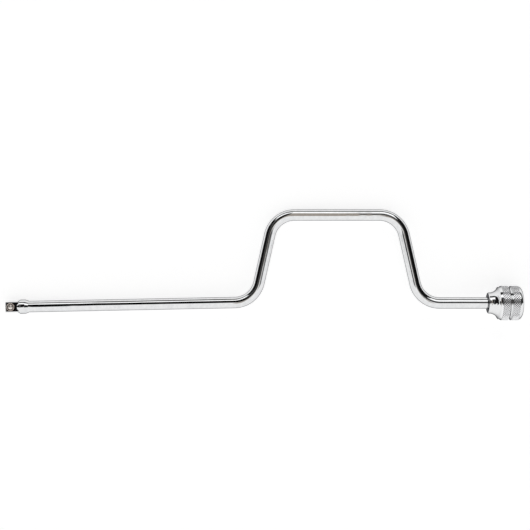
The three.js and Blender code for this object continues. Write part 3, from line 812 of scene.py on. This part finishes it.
def palm_plug():
    """Plug pressed into the palm end, its face on the palm's crown."""
    start = CHAMBER_END + CAP_SEAT_GAP
    face = CAP_RADIUS - CAP_EDGE_BEVEL
    outline = [
        (start, 0),
        (start, face),
        (start + CAP_EDGE_BEVEL, CAP_RADIUS),
        (palm_at(CAP_RADIUS) - CAP_EDGE_BEVEL, CAP_RADIUS),
    ]
    for step in range(ARC_STEPS + 1):
        radius = face * (1 - step / ARC_STEPS)
        outline.append((palm_at(radius), radius))
    shape = bmesh.new()
    turned(shape, softened(outline), 2 * KNURL_TEETH)
    mesh = mesh_of(shape, "palm_plug", [knurled], tool_to_world)
    place_piece("palm_plug", creased(mesh), "knob", "chrome", "palm_cap")


bent_rod()
snap_ball()
snap_spring()
spinning_knob()
palm_plug()

# Inner pieces keep their CAD shapes
INNER_FINISHES = {
    "front_bush": bronze,
    "rear_bush": bronze,
    "front_thrust_washer": plain_steel,
    "rear_thrust_washer": plain_steel,
    "retaining_ring": plain_steel,
}
for node, finish in INNER_FINISHES.items():
    materials = frame["nodes"][node].data.materials
    materials.clear()
    materials.append(finish)

# Studio: white floor, and a sky of panels set by two angles in degrees. The sweep turns about the tool from
# overhead towards the crank bar, and the lean runs along the tool towards the knob.
FLOOR_HALF = 40
FLOOR_TONE = 0.4
FLOOR_GLOW = 0.775
HORIZON_TOP = 0.07


def white_floor():
    """Floor that is white to the camera and in the metal, and keeps the tool's shadow."""
    mesh = bpy.data.meshes.new("floor")
    corners = [(x * FLOOR_HALF, y * FLOOR_HALF, 0) for x, y in ((-1, -1), (1, -1), (1, 1), (-1, 1))]
    mesh.from_pydata(corners, [], [(0, 1, 2, 3)])
    material = bpy.data.materials.new("white_floor")
    material.use_nodes = True
    graph = Graph(material.node_tree)
    graph.tree.nodes.clear()
    path = graph.node("ShaderNodeLightPath").outputs
    seen = graph.math("MAXIMUM", path["Is Camera Ray"], path["Is Glossy Ray"])
    seen = graph.math("MAXIMUM", seen, path["Is Transmission Ray"])
    glow = graph.node("ShaderNodeEmission", {"Strength": graph.math("MULTIPLY", seen, FLOOR_GLOW)})
    paint = graph.node("ShaderNodeBsdfDiffuse", {"Color": (FLOOR_TONE, FLOOR_TONE, FLOOR_TONE, 1)})
    both = graph.node("ShaderNodeAddShader", {0: glow.outputs[0], 1: paint.outputs[0]})
    graph.node("ShaderNodeOutputMaterial", {"Surface": both.outputs[0]})
    mesh.materials.append(material)
    floor = bpy.data.objects.new("floor", mesh)
    scene.collection.objects.link(floor)


# Each panel: sweep from and to, lean from and to, colour, softness of its edges
SKY_BASE = (0.01, 0.01, 0.01)
SOFTBOX = (1.35, 1.35, 1.35)
WHITE_WALL = (1.0, 1.0, 1.0)
WARM_CARD = (0.4, 0.36, 0.32)
LIGHT_CARD = (0.14, 0.14, 0.14)
GREY_CARD = (0.1, 0.1, 0.1)
DARK_CARD = (0.08, 0.08, 0.08)
BLACK_CLOTH = (0.006, 0.006, 0.006)
STUDIO_PANELS = [
    ((-200, -1), (-120, 120), WHITE_WALL, 1.5),
    ((-12, 36), (-42, -15), GREY_CARD, 2),
    ((-13, -1), (17, 40), LIGHT_CARD, 2),
    ((-4, 32), (-64, -27), BLACK_CLOTH, 3),
    ((-30, 60), (-90, -60), BLACK_CLOTH, 3),
    ((-9, 36), (-16, -10.5), BLACK_CLOTH, 1.5),
    ((-4, 32), (26, 64), BLACK_CLOTH, 3),
    ((8, 60), (60, 86), BLACK_CLOTH, 3),
    ((42, 64), (-32, -10), SOFTBOX, 1.2),
    ((42, 60), (-10, -1), SOFTBOX, 1.2),
    ((34, 64), (-1, 5.5), SOFTBOX, 1.2),
    ((31, 62), (5.5, 30), SOFTBOX, 1.2),
    ((-3, 25), (5.5, 20), DARK_CARD, 1.5),
    ((-22, 33), (-1, 5.5), WARM_CARD, 1),
]


def studio_sky():
    """World of the studio's panels, white at the horizon."""
    world = bpy.data.worlds.new("studio")
    scene.world = world
    world.use_nodes = True
    graph = Graph(world.node_tree)
    background = world.node_tree.nodes["Background"]
    direction = graph.node("ShaderNodeTexCoord").outputs["Generated"]

    def share_along(axis):
        inputs = {0: direction, 1: tuple(axis)}
        return graph.node("ShaderNodeVectorMath", inputs, operation="DOT_PRODUCT").outputs["Value"]

    sweep = graph.math("DEGREES", graph.math("ARCTAN2", share_along(tool_y), share_along(tool_z)))
    lean = graph.math("DEGREES", graph.math("ARCSINE", share_along(tool_x)))

    def between(angle, low, high, soft):
        rise = graph.remap(angle, low - soft, low + soft, smooth=True)
        fall = graph.remap(angle, high - soft, high + soft, 1.0, 0.0, smooth=True)
        return graph.math("MULTIPLY", rise, fall)

    def painted(under, sweeps, leans, colour, soft):
        """Sky with a panel painted over what is under it."""
        inside = graph.math("MULTIPLY", between(sweep, *sweeps, soft), between(lean, *leans, soft))
        return graph.mix(inside, under, (*colour, 1))

    colour = (*SKY_BASE, 1)
    for panel in STUDIO_PANELS:
        colour = painted(colour, *panel)
    height = graph.split(direction)["Z"]
    horizon = graph.remap(height, 0.0, HORIZON_TOP, 1.0, 0.0, smooth=True)
    colour = graph.mix(horizon, colour, (1, 1, 1, 1))
    graph.tree.links.new(colour, background.inputs["Color"])


def photo_camera():
    """Camera square over the crank's plane, where the photograph's middle falls."""
    camera = bpy.data.cameras.new("camera")
    view = bpy.data.objects.new("camera", camera)
    scene.collection.objects.link(view)
    frame_half = PHOTO_PIXELS * METRES_PER_PIXEL / 2
    camera.sensor_width = 36
    camera.lens = camera.sensor_width / 2 * CAMERA_DISTANCE / frame_half
    camera.clip_start = 0.01
    camera.clip_end = 100
    view.matrix_world = tool_to_world @ Matrix.Translation(PHOTO_MIDDLE + Vector((0, 0, CAMERA_DISTANCE)))
    scene.camera = view


white_floor()
studio_sky()
photo_camera()
scene.view_settings.view_transform = "Standard"
